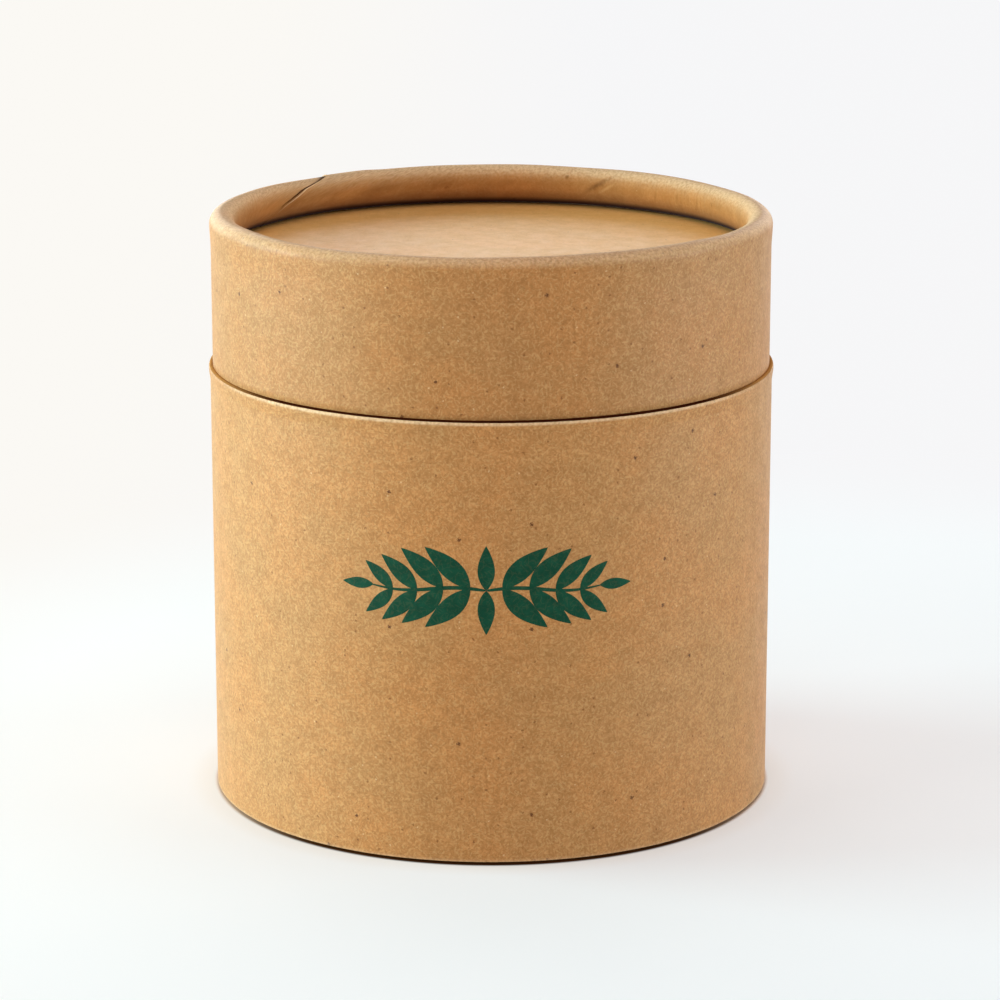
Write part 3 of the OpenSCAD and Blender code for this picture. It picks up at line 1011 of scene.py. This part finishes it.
def makeSprig():
    # Every motif is a grid of rows along it and columns round its flat section, laid on the wall:
    # azimuth = middle + x / radius, radius = wall + halfThickness * out + proud
    points, quads, total = [], [], 0
    for x, z, out in sprigMotifs():
        rows, columns = x.shape
        azimuth = np.radians(sprig["middle"]) + x / wallRadius
        height = sprig["height"] + z
        radius = wallRadius + wallPush(azimuth, height) + sprig["halfThickness"] * out + sprig["proud"]
        grid = np.stack([radius * np.cos(azimuth), radius * np.sin(azimuth), height], axis=-1)
        points.append(grid.reshape(-1, 3))
        i, j = gridCells(rows - 1, columns)
        nextJ = (j + 1) % columns
        quads.append(np.stack([i * columns + j, i * columns + nextJ, (i + 1) * columns + nextJ,
                               (i + 1) * columns + j], axis=1) + total)
        total += rows * columns
    points, quads = np.concatenate(points), np.concatenate(quads)
    aroundMap = np.arctan2(points[:, 1], points[:, 0]) * wallRadius + sprig["mapShift"]
    sheet = np.stack([aroundMap, points[:, 2]], axis=1)
    piece = buildMesh("leafSprigPrint", points * mm, quads, np.zeros((0, 3), int), sheet[quads],
                      np.zeros((0, 3, 2)), greenInk)
    mergeDoubles(piece, sprig["weld"])
    finishPiece(piece, "base", "kraft_paper")


makeSprig()
print("print made")


# Camera, floor and light, in metres

shot = {"place": (-0.0003, -0.63153, 0.20947), "pitchDown": 14.2596, "turnRight": 0.1642,
        "lens": 135.773, "sensor": 36.0}


def makeCamera():
    camera = bpy.data.objects.new("camera", bpy.data.cameras.new("camera"))
    camera.data.lens = shot["lens"]
    camera.data.sensor_width = shot["sensor"]
    camera.location = shot["place"]
    camera.rotation_euler = np.radians((90 - shot["pitchDown"], 0, -shot["turnRight"]))
    bpy.context.scene.collection.objects.link(camera)
    bpy.context.scene.camera = camera


floorLook = {
    "width": 6.0, "below": 0.52,  # the level is in mm below the foot
    "paint": colour(0.985, 0.943, 0.942), "otherPaint": colour(0.988, 0.948, 0.947), "paintNoise": (6, 3),
    # painted shade near the foot, warm with painted light thrown back by the box, and a painted contact
    # shadow under the foot's edge
    "paintedBounceShade": colour(0.95, 0.86, 0.80), "warmFade": (0.0485, 0.054),
    "paintedShadowFront": colour(0.10, 0.035, 0.010), "paintedShadowBeside": colour(0.95, 0.60, 0.40),
    "nearFade": (0.0478, 0.0487), "nearAhead": (0.014, 0.038), "least": 0.4,
    "bounce": colour(0.76, 0.76, 0.76), "roughness": 0.8, "specular": 0.0,
    # the far white is painted warmer and brighter on the lit left side
    "leftWhite": colour(0.965, 0.945, 0.905), "rightWhite": colour(0.925, 0.925, 0.935),
    "across": (-0.12, 0.06), "middle": (0.06, 0, 0), "fade": (0.10, 0.24),
}


def floorPaint(tree, place, fromAxis, parts, look):
    # a painted contact shadow at the edge of the foot, deep brown in front and light brown beside
    # it and behind, then a warm ring of painted shade tinted by painted light thrown back by the box,
    # then two paints that drift
    paint = mixColour(tree, noise(tree, place, *look["paintNoise"]), look["paint"], look["otherPaint"])
    paint = mixColour(tree, rise(tree, fromAxis, *look["warmFade"]), look["paintedBounceShade"], paint)
    ahead = rise(tree, times(tree, parts["Y"], -1), *look["nearAhead"])
    paintedShadowRing = mixColour(tree, ahead, look["paintedShadowBeside"], look["paintedShadowFront"])
    return mixColour(tree, rise(tree, fromAxis, *look["nearFade"]), paintedShadowRing, paint)


def makeFloor(look):
    # Near the box the floor shows its shaded paint, and further off a white that glows, painted
    # warmer and brighter to the left where the lamps stand, of which the paint holds a share too.
    # To other rays it is a duller paint, which gives less light back
    material, tree, shader = newMaterial("floorPaint")
    place = addNode(tree, "TexCoord").outputs["Object"]
    parts = addNode(tree, "SeparateXYZ", {0: place}).outputs
    fromAxis = onVectors(tree, "LENGTH", {0: place}, "Value")
    seen = seenRays(tree)
    paint = floorPaint(tree, place, fromAxis, parts, look)
    tree.links.new(mixColour(tree, seen, look["bounce"], paint), shader.inputs["Base Color"])
    shader.inputs["Roughness"].default_value = look["roughness"]
    shader.inputs["Specular IOR Level"].default_value = look["specular"]
    aside = onVectors(tree, "SUBTRACT", {0: place, 1: look["middle"]})
    away = onVectors(tree, "LENGTH", {0: aside}, "Value")
    least = times(tree, rise(tree, fromAxis, *look["nearFade"]), look["least"])
    far = times(tree, calculate(tree, "MAXIMUM", rise(tree, away, *look["fade"]), least), seen)
    across = rise(tree, parts["X"], *look["across"])
    tone = mixColour(tree, across, look["leftWhite"], look["rightWhite"])
    glow = addNode(tree, "Emission", {"Color": tone})
    both = addNode(tree, "MixShader", {0: far, 1: shader.outputs[0], 2: glow.outputs[0]})
    tree.links.new(both.outputs[0], tree.nodes["Material Output"].inputs["Surface"])
    half, level = look["width"] / 2, -look["below"] * mm
    corners = [(-half, -half, level), (half, -half, level), (half, half, level), (-half, half, level)]
    mesh = bpy.data.meshes.new("floor")
    mesh.from_pydata(corners, [], [(0, 1, 2, 3)])
    mesh.materials.append(material)
    floor = bpy.data.objects.new("floor", mesh)
    bpy.context.scene.collection.objects.link(floor)


worldLook = {"giving": (1, 1, 1, 1), "strength": 0.03, "shown": (0.93, 0.93, 0.94, 1)}


def makeWorld(look):
    # Lamps aside, the surroundings give the light; what is seen straight or mirrored is white
    world = bpy.data.worlds.new("studio")
    bpy.context.scene.world = world
    world.use_nodes = True
    tree = world.node_tree
    tree.nodes.clear()
    giving = addNode(tree, "Background", {"Color": look["giving"], "Strength": look["strength"]})
    shown = addNode(tree, "Background", {"Color": look["shown"], "Strength": 1.0})
    both = addNode(tree, "MixShader", {0: seenRays(tree), 1: giving.outputs[0], 2: shown.outputs[0]})
    addNode(tree, "OutputWorld", {"Surface": both.outputs[0]})


# degrees from the front towards +X, degrees up, distance, size, power and tint of each soft box
white = (1, 1, 1)
lamps = {
    "sideBox": {"from": -96, "up": 10, "away": 1.3, "size": (0.75, 0.4), "power": 24.1,
                "tint": (0.665, 1, 1.04)},
    "sideFrontBox": {"from": -62, "up": 6, "away": 1.3, "size": (0.6, 0.35), "power": 8.7,
                     "tint": (0.87, 1, 0.97)},
    "backLeftBox": {"from": -150, "up": 10, "away": 1.2, "size": (0.5, 0.5), "power": 3.0, "tint": white},
    "rightBox": {"from": 83, "up": 6, "away": 1.2, "size": (0.9, 0.25), "power": 11.7,
                 "tint": (0.80, 1, 1.04)},
    "backRightBox": {"from": 150, "up": 10, "away": 1.2, "size": (0.5, 0.5), "power": 2.0, "tint": white},
    "backBox": {"from": 180, "up": 22, "away": 1.2, "size": (0.9, 0.5), "power": 4.2, "tint": white},
    "frontBox": {"from": 0, "up": 26, "away": 1.2, "size": (0.8, 0.8), "power": 3.8, "tint": white},
    "topBox": {"from": 180, "up": 86, "away": 1.25, "size": (1.2, 1.2), "power": 6.2, "tint": white},
}
lampAim = Vector((0, 0, 0.055))


def makeLamp(name, look):
    lamp = bpy.data.objects.new(name, bpy.data.lights.new(name, "AREA"))
    lamp.data.shape = "RECTANGLE"
    lamp.data.size, lamp.data.size_y = look["size"]
    lamp.data.energy = look["power"]
    lamp.data.color = look["tint"]
    turn, up = np.radians(look["from"]), np.radians(look["up"])
    away = Vector((np.sin(turn) * np.cos(up), -np.cos(turn) * np.cos(up), np.sin(up)))
    lamp.location = lampAim + away * look["away"]
    lamp.rotation_euler = (-away).to_track_quat("-Z", "Y").to_euler()
    bpy.context.scene.collection.objects.link(lamp)


makeCamera()
makeFloor(floorLook)
makeWorld(worldLook)
for name, look in lamps.items():
    makeLamp(name, look)
bpy.context.scene.view_settings.view_transform = "Standard"
print("camera, floor and light made")
